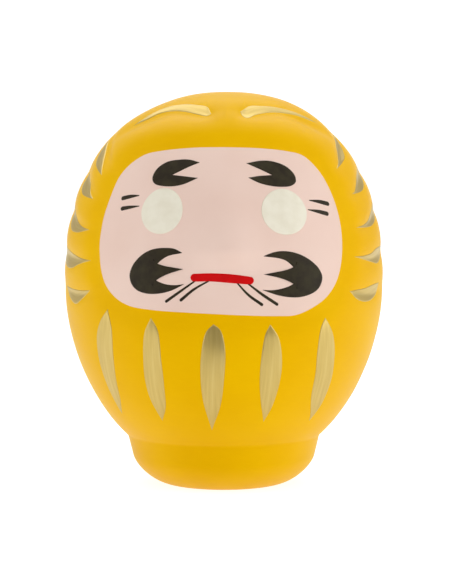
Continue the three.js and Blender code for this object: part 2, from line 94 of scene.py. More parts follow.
HALF_W = WIDTH / 2
FRONT = DEPTH / 2 - NOSE_PROUD
REAR = DEPTH / 2
OPENING_DIA = REST_DIA - 2 * RIM
BELLY_DROP = (WIDEST - WAIST) / math.sqrt(1 - (WAIST_DIA / WIDTH) ** 2)
FOOT_FLARE = (WAIST_DIA - FOOT_DIA) / 2 / WAIST

# heights at which paint stands over the shell
FACE_LIFT = 0.07
STROKE_LIFT = 0.10
INK_LIFT = 0.14
EYE_LIFT = 0.12
LINE_LIFT = 0.09
COAT_FOOT = 0.03        # how far a coat's underside lies below the surface it is painted on
EDGE_ROUND = 3.0        # a coat rounds down over this many times its own height
EDGE_CROWDING = 0.35    # share of a coat's rows that crowd towards its edges

# ---- outlines, as [degrees round from the front, height in hundredths] ---------
FACE_LEFT = [
    [0, 86.7], [-15.3, 86.5], [-31, 85.7], [-39.2, 84.7], [-45.1, 82.4], [-48.6, 79.3], [-50.2, 73.4],
    [-51.6, 66], [-50.6, 58.5], [-47.8, 53.2], [-42.9, 49.8], [-36.3, 47.7], [-27, 46.9], [-10, 46.4],
    [5, 45.9],
]
FACE_RIGHT = [
    [0, 86.7], [15, 86.5], [30.7, 85.6], [38.5, 84.5], [42.3, 82.4], [45.5, 79], [47.6, 73.4],
    [48.3, 66], [46.9, 58.6], [44.2, 53.6], [39.5, 49.9], [32.6, 47.1], [26.2, 45.6], [20, 45.5],
    [5, 45.9],
]
# middle and half sizes, in the same two measures
EYES = {
    "eye_left": [-23.4, 70.95, 8.25, 5.6],
    "eye_right": [22.8, 70.75, 9.1, 5.6],
}
# each mark: its outer edge, then the runs of its inner edge between the same two tips
INKS = {
    "eyebrow_left": [
        [[-10.3, 82.9], [-15, 83.6], [-20, 83.6], [-25.9, 82.9], [-29.6, 81], [-30.3, 79.1],
         [-28.8, 77.7], [-23.2, 76.9], [-17, 77.3], [-10.3, 79.1]],
        [[-10.3, 82.9], [-15.4, 81.6], [-21.2, 79.8]],
        [[-21.2, 79.8], [-15.8, 79.5], [-10.3, 79.1]],
    ],
    "eyebrow_right": [
        [[9.5, 82.7], [16.5, 83.4], [22.4, 83.1], [27.9, 81.7], [30.4, 79.7], [30.2, 78.2],
         [27.6, 77.1], [23.6, 76.8], [19.1, 77], [14, 77.8], [9.7, 79.1]],
        [[9.5, 82.7], [14.4, 81.4], [19.9, 79.8]],
        [[19.9, 79.8], [14.4, 79.6], [9.7, 79.1]],
    ],
    "beard_left": [
        [[-14.4, 60.9], [-17.5, 61.9], [-20.8, 62.1], [-25.8, 61.7], [-30.1, 60.3], [-33.9, 57.7],
         [-35.3, 55.2], [-34.5, 53.1], [-32.2, 51.6], [-28.2, 50.8], [-23, 50.9], [-18.1, 51.8],
         [-13.6, 53.4]],
        [[-14.4, 60.9], [-20.3, 59.9], [-24.7, 57.7]],
        [[-24.7, 57.7], [-19.8, 57.5], [-14, 57]],
        [[-14, 57], [-19.7, 55.8], [-25.7, 54.6]],
        [[-25.7, 54.6], [-21.4, 53.4], [-17.3, 53.1], [-13.6, 53.4]],
    ],
    "beard_right": [
        [[13.5, 60.1], [17.8, 61.1], [21.9, 61.3], [27, 60.6], [32.2, 58.8], [35.9, 56.5],
         [37.1, 54.6], [36.3, 52.7], [34, 51.2], [29.4, 50.1], [25.1, 49.9], [19.4, 50.5], [13.1, 52]],
        [[13.5, 60.1], [21.8, 59], [26, 56.6]],
        [[26, 56.6], [19.3, 56.3], [13.8, 55.7]],
        [[13.8, 55.7], [20.1, 54.8], [26.5, 53.8]],
        [[26.5, 53.8], [22.6, 52.6], [17.7, 51.9], [13.1, 52]],
    ],
}
# bars of paint: the middle line, each point with the bar's half width there in mm
BARS = {
    "mouth": [[-10.2, 54.95, 1.0], [-4.3, 55.05, 1.04], [2.5, 54.75, 1.12], [9, 54.25, 1.0]],
    "whisker_left_outer": [[-9.9, 54.2, 0.2], [-15, 51.7, 0.32], [-20.4, 49.1, 0.38]],
    "whisker_left_inner": [[-5.2, 54.2, 0.2], [-10.4, 52.1, 0.32], [-15, 49.5, 0.4]],
    "whisker_right_inner": [[4.2, 54.0, 0.18], [8.5, 50.8, 0.32], [13.3, 48.4, 0.4]],
    "whisker_right_outer": [[8, 53.7, 0.2], [13.5, 50.8, 0.36], [18.8, 48.4, 0.4]],
    "temple_mark_left_upper": [[-34.4, 74.65, 0.14], [-38.5, 74.4, 0.48], [-42.3, 73.95, 0.56]],
    "temple_mark_left_lower": [[-33.3, 72.05, 0.12], [-37.8, 71.75, 0.44], [-41.4, 71.4, 0.56]],
    "temple_mark_right_upper": [[34.4, 73.5, 0.14], [39.5, 73.1, 0.5], [43.2, 72.6, 0.58]],
    "temple_mark_right_lower": [[32.9, 71.2, 0.12], [37.9, 70.7, 0.48], [41.8, 70.15, 0.58]],
}
# each stroke of gold: its two edges, both from the brush's first touch to its last
GOLD = {
    "crown_stroke_left": [
        [[-10.1, 94.8], [-14.3, 96.1], [-27, 96.8], [-43.3, 96.9], [-55.3, 96.3], [-61.2, 95],
         [-67, 91.7]],
        [[-10.1, 94.8], [-12.4, 94.5], [-20.2, 95], [-32.5, 95.6], [-45.6, 95.7], [-55.2, 94.9],
         [-60.5, 93.4], [-67, 91.7]],
    ],
    "crown_stroke_right": [
        [[9.8, 95.2], [17.6, 96.4], [30, 96.6], [45.1, 96.4], [55.4, 95.6], [63.6, 94.3], [72, 92.2]],
        [[9.8, 95.2], [11.4, 94.2], [14.2, 93.8], [19.5, 94.7], [30.5, 95.4], [43.4, 95.5],
         [55.7, 94.7], [65.3, 93.2], [72, 92.2]],
    ],
    "side_stroke_right_1": [
        [[86, 89.6], [77, 86.2], [71.1, 83.9], [64.4, 82.5], [55.3, 80.9]],
        [[86, 89.6], [70.6, 86.7], [64, 84.2], [60, 82.5], [55.3, 80.9]],
    ],
    "side_stroke_right_2": [
        [[82, 81.2], [84, 79.2], [79.5, 77], [73, 75.4], [60, 74.6]],
        [[82, 81.2], [72, 78.8], [68, 76.8], [64.5, 75.4], [60, 74.6]],
    ],
    "side_stroke_right_3": [
        [[84, 72.2], [86, 69.8], [81, 67.8], [73.5, 66.5], [66, 66.2], [56.5, 66.3]],
        [[84, 72.2], [75, 69.9], [70, 68], [65, 67.1], [56.5, 66.3]],
    ],
    "side_stroke_right_4": [
        [[84, 61.2], [82, 58.8], [74, 56.9], [67.6, 57.4], [60, 58.3], [53, 59.2]],
        [[84, 61.2], [72, 60.7], [66.5, 59.7], [60, 59.3], [53, 59.2]],
    ],
    "side_stroke_right_5": [
        [[74, 52.1], [73, 49.8], [67.5, 48.1], [59.5, 47.8], [54, 48.8], [50, 50.8]],
        [[74, 52.1], [66.5, 51.8], [60.5, 51.2], [55, 51], [50, 50.8]],
    ],
    "side_stroke_left_1": [
        [[-84, 88], [-80, 85.2], [-74.5, 82.4], [-67, 80.6], [-59.8, 79.2]],
        [[-84, 88], [-73, 85.2], [-65.5, 82.2], [-59.8, 79.2]],
    ],
    "side_stroke_left_2": [
        [[-82, 79.8], [-80, 76.8], [-74.5, 74.6], [-68, 73.8], [-60.5, 73.4]],
        [[-82, 79.8], [-72, 77.8], [-66.5, 75.2], [-60.5, 73.4]],
    ],
    "side_stroke_left_3": [
        [[-84, 71.4], [-82.5, 68.2], [-77, 65.5], [-69, 64.8], [-58.5, 65.8]],
        [[-84, 71.4], [-77, 69.2], [-71, 67.4], [-65, 66.4], [-58.5, 65.8]],
    ],
    "side_stroke_left_4": [
        [[-85, 61], [-86, 58.2], [-78, 55.9], [-70.5, 55.8], [-64, 57], [-55.5, 58.2]],
        [[-85, 61], [-76, 60], [-69, 59.2], [-63, 58.6], [-55.5, 58.2]],
    ],
    "side_stroke_left_5": [
        [[-79.5, 51], [-75, 48.6], [-67, 46.9], [-61.5, 48.4], [-55.5, 50.8]],
        [[-79.5, 51], [-71, 50.6], [-63.5, 50.5], [-55.5, 50.8]],
    ],
    "belly_stroke_1": [
        [[-45.1, 46.6], [-49.7, 43.2], [-52.8, 39.5], [-54.8, 34], [-55.3, 27], [-55, 19.6]],
        [[-45.1, 46.6], [-43.6, 42], [-44.8, 36], [-47, 30], [-49.8, 24], [-55, 19.6]],
    ],
    "belly_stroke_2": [
        [[-26.5, 45], [-29, 41.5], [-30.9, 35.1], [-32.1, 29.1], [-32, 24.5], [-29.6, 19.1]],
        [[-26.5, 45], [-23.6, 41.8], [-23.4, 34.3], [-23.8, 29], [-25.4, 23], [-29.6, 19.1]],
    ],
    "belly_stroke_3": [
        [[-3.6, 43.8], [-6.4, 41.7], [-8.3, 36], [-8.9, 30], [-8.5, 24.5], [-5.8, 17]],
        [[-3.6, 43.8], [-1, 42.2], [0.5, 38], [0.3, 31.5], [-1.4, 23.5], [-5.8, 17]],
    ],
    "belly_stroke_4": [
        [[16.5, 43.6], [14.5, 41], [13.5, 35.1], [13.7, 30], [15.3, 24.5], [18.5, 19.1]],
        [[16.5, 43.6], [19.7, 40.3], [21.8, 34.5], [22.1, 29.4], [20.9, 23.2], [18.5, 19.1]],
    ],
    "belly_stroke_5": [
        [[38.1, 44.8], [36.2, 42], [36.1, 36.5], [37.3, 31.6], [39, 25], [45.1, 18.3]],
        [[38.1, 44.8], [42.6, 40.3], [45.8, 34], [47.6, 28], [47.5, 22.6], [45.1, 18.3]],
    ],
}
# creases pressed into the hood: [around, up, share of the full depth]
CREASES = [
    [[50, 80.4, 0.0], [59, 81.8, 0.7], [67, 84.4, 1.0], [76, 87.4, 0.7], [85, 89.4, 0.3], [98, 90.4, 0.0]],
    [[51, 73.8, 0.0], [61, 74.6, 0.7], [70, 76.4, 1.0], [79, 78.8, 0.8], [89, 79.9, 0.4], [104, 80.4, 0.0]],
    [[50, 66.4, 0.0], [63, 66.2, 0.8], [73, 67.6, 1.0], [82, 69.4, 0.8], [91, 70.2, 0.4], [106, 70.4, 0.0]],
    [[49, 59.4, 0.0], [63, 58.2, 0.8], [72, 58.4, 0.9], [82, 59.2, 0.6], [91, 59.6, 0.3], [106, 59.6, 0.0]],
    [[47, 51.8, 0.0], [58, 50.2, 0.7], [67, 49.6, 0.8], [78, 50.4, 0.4], [90, 51.4, 0.1], [104, 51.6, 0.0]],
]
CROWN_LINE = [
    [0, 95.2, 0.15], [7, 95.0, 0.35], [14, 94.6, 0.9], [30, 95.0, 1.0], [46, 94.8, 1.0],
    [58, 92.6, 0.9], [68, 90.2, 0.5], [76, 88.6, 0.0],
]
NOSE_AROUND = 1.5
NOSE_TOP_UP = 82.0
NOSE_TIP_UP = 61.6
NOSE_FOOT_UP = 56.6


# ---- the body as a function of two parameters ------------------------------------
def smooth(low, high, value):
    """0 below low, 1 above high, and 3t^2 - 2t^3 between."""
    t = np.clip((value - low) / (high - low), 0, 1)
    return t * t * (3 - 2 * t)


def bell(distance, width):
    """Gaussian of the distance: 1 at 0, falling to 1/e at the width."""
    return np.exp(-(distance / width) ** 2)


def two_bells(distance, wide, sharp, wide_share):
    """A wide and a sharp bell added so that they make 1 at distance 0."""
    return wide_share * bell(distance, wide) + (1 - wide_share) * bell(distance, sharp)


def profile_radius(z):
    """Radius at a height: a cone for the foot, drawn in to the resting face by a
    superellipse, an ellipse for the belly and a superellipse for the crown."""
    z = np.asarray(z, float)
    cone = FOOT_DIA / 2 + FOOT_FLARE * z
    t = 1 - np.clip(z / FOOT_EDGE, 0, 1)
    edge = REST_DIA / 2 + (cone - REST_DIA / 2) * (1 - t ** EDGE_POWER) ** (1 / EDGE_POWER)
    belly = HALF_W * np.sqrt(np.clip(1 - ((WIDEST - z) / BELLY_DROP) ** 2, 0, 1))
    s = np.clip((z - WIDEST) / (HEIGHT - WIDEST), 0, 1)
    crown = HALF_W * (1 - s ** CROWN_POWER) ** (1 / CROWN_POWER)
    return np.where(z <= WAIST, edge, np.where(z <= WIDEST, belly, crown))


def place(around, r, z):
    """A point of the turned body: the circle of radius r at height z, squeezed along Y
    by the doll's depth above the waist and shifted along +X near the crown."""
    angle = np.radians(around)
    reach = np.where(np.cos(angle) > 0, FRONT, REAR)
    ratio = 1 + (reach / HALF_W - 1) * smooth(WAIST, WIDEST, z)
    lean = CROWN_LEAN * smooth(0.89 * HEIGHT, 0.985 * HEIGHT, z)
    return np.stack([r * np.sin(angle) + lean, -r * ratio * np.cos(angle), z + 0 * angle], axis=-1)


def body_normal(around, r, z, dr, dz):
    """Cross product of the body's slopes round the axis and along the profile."""
    step = 0.02
    at = place(around, r, z)
    across = place(around + step, r, z) - at
    along = place(around, r + dr * step, z + dz * step) - at
    normal = np.cross(across, along)
    return normal / np.maximum(np.linalg.norm(normal, axis=-1, keepdims=True), 1e-12)


def spline(points, per_step):
    """Centripetal Catmull-Rom curve: through every point, with knots spaced by the
    square root of the distance between points."""
    p = np.asarray(points, float)
    if len(p) < 3:
        t = np.linspace(0, 1, per_step + 1)[:, None]
        return p[0] + (p[1] - p[0]) * t
    p = np.vstack([2 * p[0] - p[1], p, 2 * p[-1] - p[-2]])
    knots = np.maximum(np.linalg.norm(np.diff(p, axis=0), axis=1) ** 0.5, 1e-6)
    t = np.arange(per_step)[:, None] / per_step
    pieces = []
    for i in range(len(p) - 3):
        a, b, c, d = p[i:i + 4]
        k0, k1, k2 = knots[i:i + 3]
        m1 = ((b - a) / k0 - (c - a) / (k0 + k1) + (c - b) / k1) * k1
        m2 = ((c - b) / k1 - (d - b) / (k1 + k2) + (d - c) / k2) * k1
        pieces.append(b + m1 * t + (3 * (c - b) - 2 * m1 - m2) * t ** 2 + (2 * (b - c) + m1 + m2) * t ** 3)
    return np.vstack(pieces + [p[-2:-1]])


def on_body(points):
    """Points of the plain body under [around, up] pairs."""
    z = points[:, 1] / 100 * HEIGHT
    return place(points[:, 0], profile_radius(z), z)


def mirrored(points):
    """The same line on the doll's other side."""
    return [[-p[0], *p[1:]] for p in points]


def samples(points, per_step=6):
    """A line over the body and the share of depth along it."""
    line = spline(points, per_step)
    return on_body(line), line[:, 2] if line.shape[1] > 2 else np.ones(len(line))


CREASE_LINES = [samples(side) for c in CREASES for side in (c, mirrored(c))]
CROWN_LINES = [samples(CROWN_LINE), samples(mirrored(CROWN_LINE))]
face_loop = np.vstack([spline(FACE_RIGHT, 8)[:-1], spline(FACE_LEFT, 8)[::-1]])
FACE_EDGE_LINE = (on_body(face_loop), np.ones(len(face_loop)))
EYE_SPOTS = [on_body(np.array([eye[:2]]))[0] for eye in EYES.values()]


def nearest(line, at):
    """Distance from each point to a line of samples, and the share of depth there."""
    points, share = line
    best = np.full(at.shape[:-1], np.inf)
    found = np.zeros(at.shape[:-1])
    for i in range(len(points) - 1):
        step = points[i + 1] - points[i]
        t = np.clip((at - points[i]) @ step / max(step @ step, 1e-12), 0, 1)
        distance = np.linalg.norm(at - points[i] - t[..., None] * step, axis=-1)
        closer = distance < best
        best = np.where(closer, distance, best)
        found = np.where(closer, share[i] + (share[i + 1] - share[i]) * t, found)
    return best, found


def inside_face(around, up):
    """Even-odd count of how many edges of the face outline lie to one side."""
    inside = np.zeros(around.shape, bool)
    for (ax, ay), (bx, by) in zip(face_loop, np.roll(face_loop, -1, axis=0)):
        if ay == by:
            continue
        crosses = (ay > up) != (by > up)
        inside ^= crosses & (around < (bx - ax) * (up - ay) / (by - ay) + ax)
    return inside


def handmade(at):
    """Slow swells of the pasted paper: a few crossed waves 15 to 40 mm long."""
    x, y, z = at[..., 0], at[..., 1], at[..., 2]
    swell = np.sin(x / 5.1 + 0.7) * np.sin(z / 6.3 + y / 9.0)
    swell = swell + 0.7 * np.sin(y / 4.3 + z / 7.7 + 1.9) * np.sin(x / 7.9 - 0.4)
    swell = swell + 0.5 * np.sin((x + z) / 3.1) * np.sin((y - z) / 3.7 + 0.8)
    return PAPER_SWELL * swell * smooth(3, 12, z) * smooth(100, 97, z)


def relief(around, up):
    """Moulded height over the turned body: minus bells along the creases, the crown
    groove and the face's border, plus a ridge and a tip for the nose and two eye swells."""
    at = place(around, profile_radius(up / 100 * HEIGHT), up / 100 * HEIGHT)
    height = handmade(at)
    for line in CREASE_LINES:
        distance, share = nearest(line, at)
        pressed = two_bells(distance, CREASE_WIDE, CREASE_SHARP, CREASE_WIDE_SHARE)
        height = height - CREASE_DEPTH * share * pressed
    grooves = []
    for line in CROWN_LINES:
        distance, share = nearest(line, at)
        grooves.append(share * two_bells(distance, GROOVE_WIDE, GROOVE_SHARP, GROOVE_WIDE_SHARE))
    height = height - CROWN_GROOVE * np.maximum(*grooves)
    edge, _ = nearest(FACE_EDGE_LINE, at)
    inside = inside_face(around, up)
    height = height - FACE_SUNK * np.where(inside, 1, bell(edge, ROLL_EASE))
    settle = np.where(inside, smooth(0, FACE_SETTLE, edge), 0)
    aside = np.radians(around - NOSE_AROUND) * HALF_W
    ridge = smooth(NOSE_FOOT_UP, NOSE_TIP_UP + 0.5, up) * smooth(NOSE_TOP_UP + 4, NOSE_TOP_UP - 12, up)
    reach = np.where(up > NOSE_TIP_UP, NOSE_TIP_ABOVE, NOSE_TIP_BELOW)
    tip = bell((up - NOSE_TIP_UP) / 100 * HEIGHT, reach)
    height = height + settle * NOSE_BRIDGE * ridge * bell(aside, NOSE_RIDGE_REACH)
    height = height + settle * NOSE_TIP * tip * bell(aside, NOSE_TIP_REACH)
    for spot in EYE_SPOTS:
        height = height + settle * EYE_SWELL * bell(np.linalg.norm(at - spot, axis=-1), EYE_SWELL_REACH)
    return height


def profile_at(z):
    """Radius and unit direction of the profile at each height."""
    low = np.maximum(0, z - 0.1)
    high = np.minimum(HEIGHT - 1e-4, z + 0.1)
    dr = profile_radius(high) - profile_radius(low)
    dz = high - low
    length = np.hypot(dr, dz)
    return profile_radius(z), dr / length, dz / length


def painted(around, up, lift=0.0):
    """The doll's outside: the turned body moved along its normal by relief and lift."""
    z = np.clip(up, 0, 99.999) / 100 * HEIGHT
    r, dr, dz = profile_at(z)
    out = relief(around, up) + lift
    return place(around, r, z) + body_normal(around, r, z, dr, dz) * out[..., None]


# ---- meshes ------------------------------------------------------------------------
def grid_faces(rows, columns, start=0, flip=False):
    """Quads between neighbouring rows and columns of a rows x columns grid of points."""
    i, j = np.meshgrid(np.arange(rows - 1), np.arange(columns - 1), indexing="ij")
    a = (i * columns + j).ravel() + start
    quads = np.stack([a, a + 1, a + columns + 1, a + columns], axis=1)
    return quads[:, ::-1] if flip else quads


def piece(name, points, faces, uv=None):
    """A mesh object from points in mm and faces, with doubled points merged."""
    mesh = bpy.data.meshes.new(name)
    mesh.from_pydata((np.asarray(points) * MM).tolist(), [], [list(map(int, f)) for f in faces])
    if uv is not None:
        layer = mesh.uv_layers.new(name="UVMap")
        corners = np.empty(len(mesh.loops), np.int32)
        mesh.loops.foreach_get("vertex_index", corners)
        layer.data.foreach_set("uv", np.asarray(uv, np.float32)[corners].ravel())
    obj = bpy.data.objects.new(name, mesh)
    bpy.context.scene.collection.objects.link(obj)
    weld(mesh)
    return obj


def weld(mesh):
    """Merges points that coincide, such as those of a pole, and drops empty faces."""
    bm = bmesh.new()
    bm.from_mesh(mesh)
    bmesh.ops.remove_doubles(bm, verts=bm.verts, dist=2e-7)
    bmesh.ops.dissolve_degenerate(bm, edges=bm.edges, dist=1e-8)
    bmesh.ops.recalc_face_normals(bm, faces=bm.faces)
    for face in bm.faces:
        face.smooth = True
    bm.to_mesh(mesh)
    bm.free()


def finish_piece(obj, node, material):
    """Gives a piece its material and puts it in the place of its CAD node, which is hidden."""
    obj.data.materials.append(material)
    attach(obj, "root")
    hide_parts(node)
    return obj


# ---- materials -----------------------------------------------------------------------
NOISE = "ShaderNodeTexNoise"
RAMP = "ShaderNodeValToRGB"
RANGE = "ShaderNodeMapRange"
MATHS = "ShaderNodeMath"
MAPPING = "ShaderNodeMapping"
BUMP = "ShaderNodeBump"
MIX = "ShaderNodeMix"


def colour(code):
    """sRGB hex, such as "e8ae00", to linear RGBA."""
    channels = [int(code[i:i + 2], 16) / 255 for i in (0, 2, 4)]
    linear = [c / 12.92 if c <= 0.04045 else ((c + 0.055) / 1.055) ** 2.4 for c in channels]
    return (*linear, 1.0)


def node(tree, kind, settings, links):
    """Adds a node, sets its properties or input values, and links its inputs. The
    setting "stops" fills a colour ramp with (position, hex) pairs."""
    made = tree.nodes.new(kind)
    for key, value in settings.items():
        if key == "stops":
            elements = made.color_ramp.elements
            while len(elements) < len(value):
                elements.new(0.5)
            for element, (position, code) in zip(elements, value):
                element.position = position
                element.color = colour(code)
        elif isinstance(key, str) and hasattr(made, key):
            setattr(made, key, value)
        else:
            made.inputs[key].default_value = value
    for key, source in links.items():
        tree.links.new(source, made.inputs[key])
    return made.outputs


def new_material(name, settings):
    """A material with one Principled shader; returns its tree, its shader's inputs and
    the Object coordinates that its patterns are laid out on."""
    material = bpy.data.materials.new(name)
    material.use_nodes = True
    tree = material.node_tree
    surface = tree.nodes["Principled BSDF"].inputs
    for key, value in settings.items():
        surface[key].default_value = value
    return material, tree, surface, node(tree, "ShaderNodeTexCoord", {}, {})["Object"]


def per_mm(size):
    """Scale of a pattern on Object coordinates whose features are size mm across."""
    return 1000.0 / size


def robe_material():
    """Water-based yellow paint, brushed in two coats over white-primed papier-mache:
    satin, with faint brush marks round the body, slow blotches and fine paper grain."""
    material, tree, surface, where = new_material("satin_yellow_paint_on_papier_mache", {
        "Roughness": 0.42, "IOR": 1.48, "Specular IOR Level": 0.15,
        "Specular Tint": (1.0, 0.85, 0.05, 1.0)})
    blotch = node(tree, NOISE, {"Scale": per_mm(22), "Detail": 3.0}, {"Vector": where})["Fac"]
    tone = node(tree, RAMP, {"stops": [(0.30, "eeb500"), (0.55, "f1ba00"), (0.75, "f4bf00")]},
                {"Fac": blotch})["Color"]
    round_body = node(tree, MAPPING, {"Scale": (0.28, 0.28, 1.0)}, {"Vector": where})["Vector"]
    marks = node(tree, NOISE, {"Scale": per_mm(0.9), "Detail": 3.0, "Roughness": 0.6},
                 {"Vector": round_body})["Fac"]
    worn = node(tree, RAMP, {"stops": [(0.35, "ebb100"), (0.65, "f5c100")]}, {"Fac": marks})["Color"]
    share = node(tree, MATHS, {"operation": "MULTIPLY", 1: 0.25}, {0: marks})["Value"]
    mixed = node(tree, MIX, {"data_type": "RGBA"}, {"Factor": share, "A": tone, "B": worn})
    tree.links.new(mixed["Result"], surface["Base Color"])
    gloss = node(tree, RANGE, {"To Min": 0.37, "To Max": 0.48}, {"Value": marks})["Result"]
    tree.links.new(gloss, surface["Roughness"])
    grain = node(tree, NOISE, {"Scale": per_mm(0.35), "Detail": 2.0}, {"Vector": where})["Fac"]
    relief_sum = node(tree, MATHS, {"operation": "MULTIPLY_ADD", 1: 0.35}, {0: grain, 2: marks})["Value"]
    bump = node(tree, BUMP, {"Strength": 0.6, "Distance": 0.03 * MM}, {"Height": relief_sum})
    tree.links.new(bump["Normal"], surface["Normal"])
    return material


def face_material():
    """Matte pale pink paint over the white ground: chalky, with soft brush swells."""
    material, tree, surface, where = new_material("matte_pink_face_paint", {
        "Roughness": 0.62, "IOR": 1.46, "Specular IOR Level": 0.4})
    patches = node(tree, NOISE, {"Scale": per_mm(14), "Detail": 3.0}, {"Vector": where})["Fac"]
    tone = node(tree, RAMP, {"stops": [(0.3, "efd0c1"), (0.7, "f3d6c8")]}, {"Fac": patches})
    tree.links.new(tone["Color"], surface["Base Color"])
    upright = node(tree, MAPPING, {"Scale": (1.0, 1.0, 0.3)}, {"Vector": where})["Vector"]
    marks = node(tree, NOISE, {"Scale": per_mm(0.8), "Detail": 3.0}, {"Vector": upright})["Fac"]
    gloss = node(tree, RANGE, {"To Min": 0.56, "To Max": 0.68}, {"Value": marks})
    tree.links.new(gloss["Result"], surface["Roughness"])
    bump = node(tree, BUMP, {"Strength": 0.5, "Distance": 0.02 * MM}, {"Height": marks})
    tree.links.new(bump["Normal"], surface["Normal"])
    return material


def dabbed_paint(name, low, high, gloss, patch, dab, depth, specular):
    """A matte body put on by hand or pressed in place: two close tones in patches of one
    size, and a bump with grains of another. All sizes in mm."""
    material, tree, surface, where = new_material(name, {
        "Roughness": gloss, "IOR": 1.46, "Specular IOR Level": specular})
    patches = node(tree, NOISE, {"Scale": per_mm(patch), "Detail": 3.0}, {"Vector": where})["Fac"]
    tone = node(tree, RAMP, {"stops": [(0.35, low), (0.65, high)]}, {"Fac": patches})
    tree.links.new(tone["Color"], surface["Base Color"])
    shine = node(tree, RANGE, {"To Min": gloss - 0.06, "To Max": gloss + 0.06}, {"Value": patches})
    tree.links.new(shine["Result"], surface["Roughness"])
    dabs = node(tree, NOISE, {"Scale": per_mm(dab), "Detail": 3.0}, {"Vector": where})["Fac"]
    bump = node(tree, BUMP, {"Strength": 0.5, "Distance": depth * MM}, {"Height": dabs})
    tree.links.new(bump["Normal"], surface["Normal"])
    return material


def gold_material():
    """Bronze-powder paint pulled with a bristle brush: a dull metal with streaks along
    the stroke, thinner and darker where the bristles part."""
    material, tree, surface, where = new_material("brushed_bronze_powder_paint", {
        "Metallic": 0.75, "Roughness": 0.34})
    along = node(tree, "ShaderNodeUVMap", {"uv_map": "UVMap"}, {})["UV"]
    drawn = node(tree, MAPPING, {"Scale": (5.0, 100.0, 1.0)}, {"Vector": along})["Vector"]
    streaks = node(tree, NOISE, {"Scale": 1.1, "Detail": 3.0, "Roughness": 0.6},
                   {"Vector": drawn})["Fac"]
    tone = node(tree, RAMP, {"stops": [(0.30, "c9ae62"), (0.50, "d2b76a"), (0.70, "dac279")]},
                {"Fac": streaks})
    tree.links.new(tone["Color"], surface["Base Color"])
    flakes = node(tree, NOISE, {"Scale": per_mm(0.25), "Detail": 2.0}, {"Vector": where})["Fac"]
    shine = node(tree, RANGE, {"To Min": 0.30, "To Max": 0.42}, {"Value": flakes})
    tree.links.new(shine["Result"], surface["Roughness"])
    ridges = node(tree, MATHS, {"operation": "MULTIPLY_ADD", 1: 0.2}, {0: flakes, 2: streaks})["Value"]
    bump = node(tree, BUMP, {"Strength": 0.35, "Distance": 0.04 * MM}, {"Height": ridges})
    tree.links.new(bump["Normal"], surface["Normal"])
    return material


ROBE = robe_material()
FACE = face_material()
EYE = dabbed_paint("off_white_gofun_paint", "ece5d0", "f2ecd9", 0.60, 3.0, 0.7, 0.02, 0.4)
INK = dabbed_paint("brown_black_sumi_paint", "2a2215", "36301d", 0.50, 2.5, 0.7, 0.02, 0.2)
RED = dabbed_paint("vermilion_lacquer_paint", "c80408", "d4060a", 0.42, 2.0, 0.7, 0.02, 0.1)
CARD = dabbed_paint("grey_board", "8d8371", "b3a791", 0.88, 0.6, 0.4, 0.06, 0.2)
CLAY = dabbed_paint("air_dried_clay", "8f775b", "b09877", 0.90, 1.2, 0.6, 0.15, 0.2)
PAPER = dabbed_paint("pasted_kozo_paper", "b39c75", "cdb992", 0.90, 0.8, 0.5, 0.08, 0.2)
GOLD_PAINT = gold_material()


# ---- shell ------------------------------------------------------------------------------
profile_z = HEIGHT * (1 - np.cos(np.linspace(0, math.pi, 20001))) / 2
profile_steps = np.hypot(np.diff(profile_z), np.diff(profile_radius(profile_z)))
profile_length = np.concatenate([[0], np.cumsum(profile_steps)])


def heights(count):
    """Heights from the crown to the sole, evenly spaced along the profile."""
    return np.interp(np.linspace(profile_length[-1], 0, count), profile_length, profile_z)


def inner_wall(ring, rows):
    """The hollow of the shell along a ring of angles: the plain body moved inwards along
    its normal by the wall, from its pole down to the floor and the opening's edge."""
    coarse = np.interp(np.linspace(0, profile_length[-1], 400), profile_length, profile_z)
    levels = np.interp(np.linspace(1, 0, rows), np.linspace(0, 1, 400), coarse)
    levels = np.unique(np.clip(levels, FLOOR + FLOOR_BEND, None))[::-1]
    around, z = np.meshgrid(ring, levels)
    r, dr, dz = profile_at(z)
    wall = place(around, r, z) - body_normal(around, r, z, dr, dz) * WALL
    wall[0] = place(0.0, 0.0, HEIGHT - WALL)
    corner = place(ring, np.linalg.norm(wall[-1, 0, :2]) * CORNER_SHARE, FLOOR)
    lip = place(ring, OPENING_DIA / 2, FLOOR)
    return np.vstack([wall, corner[None], lip[None]])


def shell_half(name, node_name, first, last, columns, rows=300, inner_columns=60, inner_rows=60):
    """Half of the hollow shell. The outside is the painted surface from the crown's pole
    to the sole; a flat face closes each cut edge and a short wall lines the opening."""
    around, z = np.meshgrid(np.linspace(first, last, columns + 1), heights(rows))
    outside = painted(around, z / HEIGHT * 100)
    outside[0] = place(0.0, 0.0, HEIGHT)
    outside = np.vstack([outside, place(around[0], OPENING_DIA / 2, 0.0)[None]])
    inside = inner_wall(np.linspace(first, last, inner_columns + 1), inner_rows)
    points = np.vstack([outside.reshape(-1, 3), inside.reshape(-1, 3)])
    base = outside.shape[0] * outside.shape[1]
    wide, narrow = columns + 1, inner_columns + 1
    faces = grid_faces(outside.shape[0], wide).tolist()
    faces += grid_faces(inside.shape[0], narrow, base, flip=True).tolist()
    ratio = columns // inner_columns
    rim_out = (outside.shape[0] - 1) * wide
    rim_in = base + (inside.shape[0] - 1) * narrow
    for k in range(inner_columns):
        faces.append([rim_out + k * ratio + i for i in range(ratio + 1)] + [rim_in + k + 1, rim_in + k])
    for side_out, side_in in ((0, 0), (columns, inner_columns)):
        loop = [i * wide + side_out for i in range(outside.shape[0])]
        back = [base + i * narrow + side_in for i in range(inside.shape[0])]
        faces.append(loop + back[::-1])
    obj = piece(name, points, faces)
    mark_flat(obj)
    return finish_piece(obj, node_name, ROBE)


def mark_flat(obj):
    """Large cut faces and hard corners are shaded flat, the rest smooth."""
    mesh = obj.data
    mesh.set_sharp_from_angle(angle=math.radians(SHARP_CORNER))


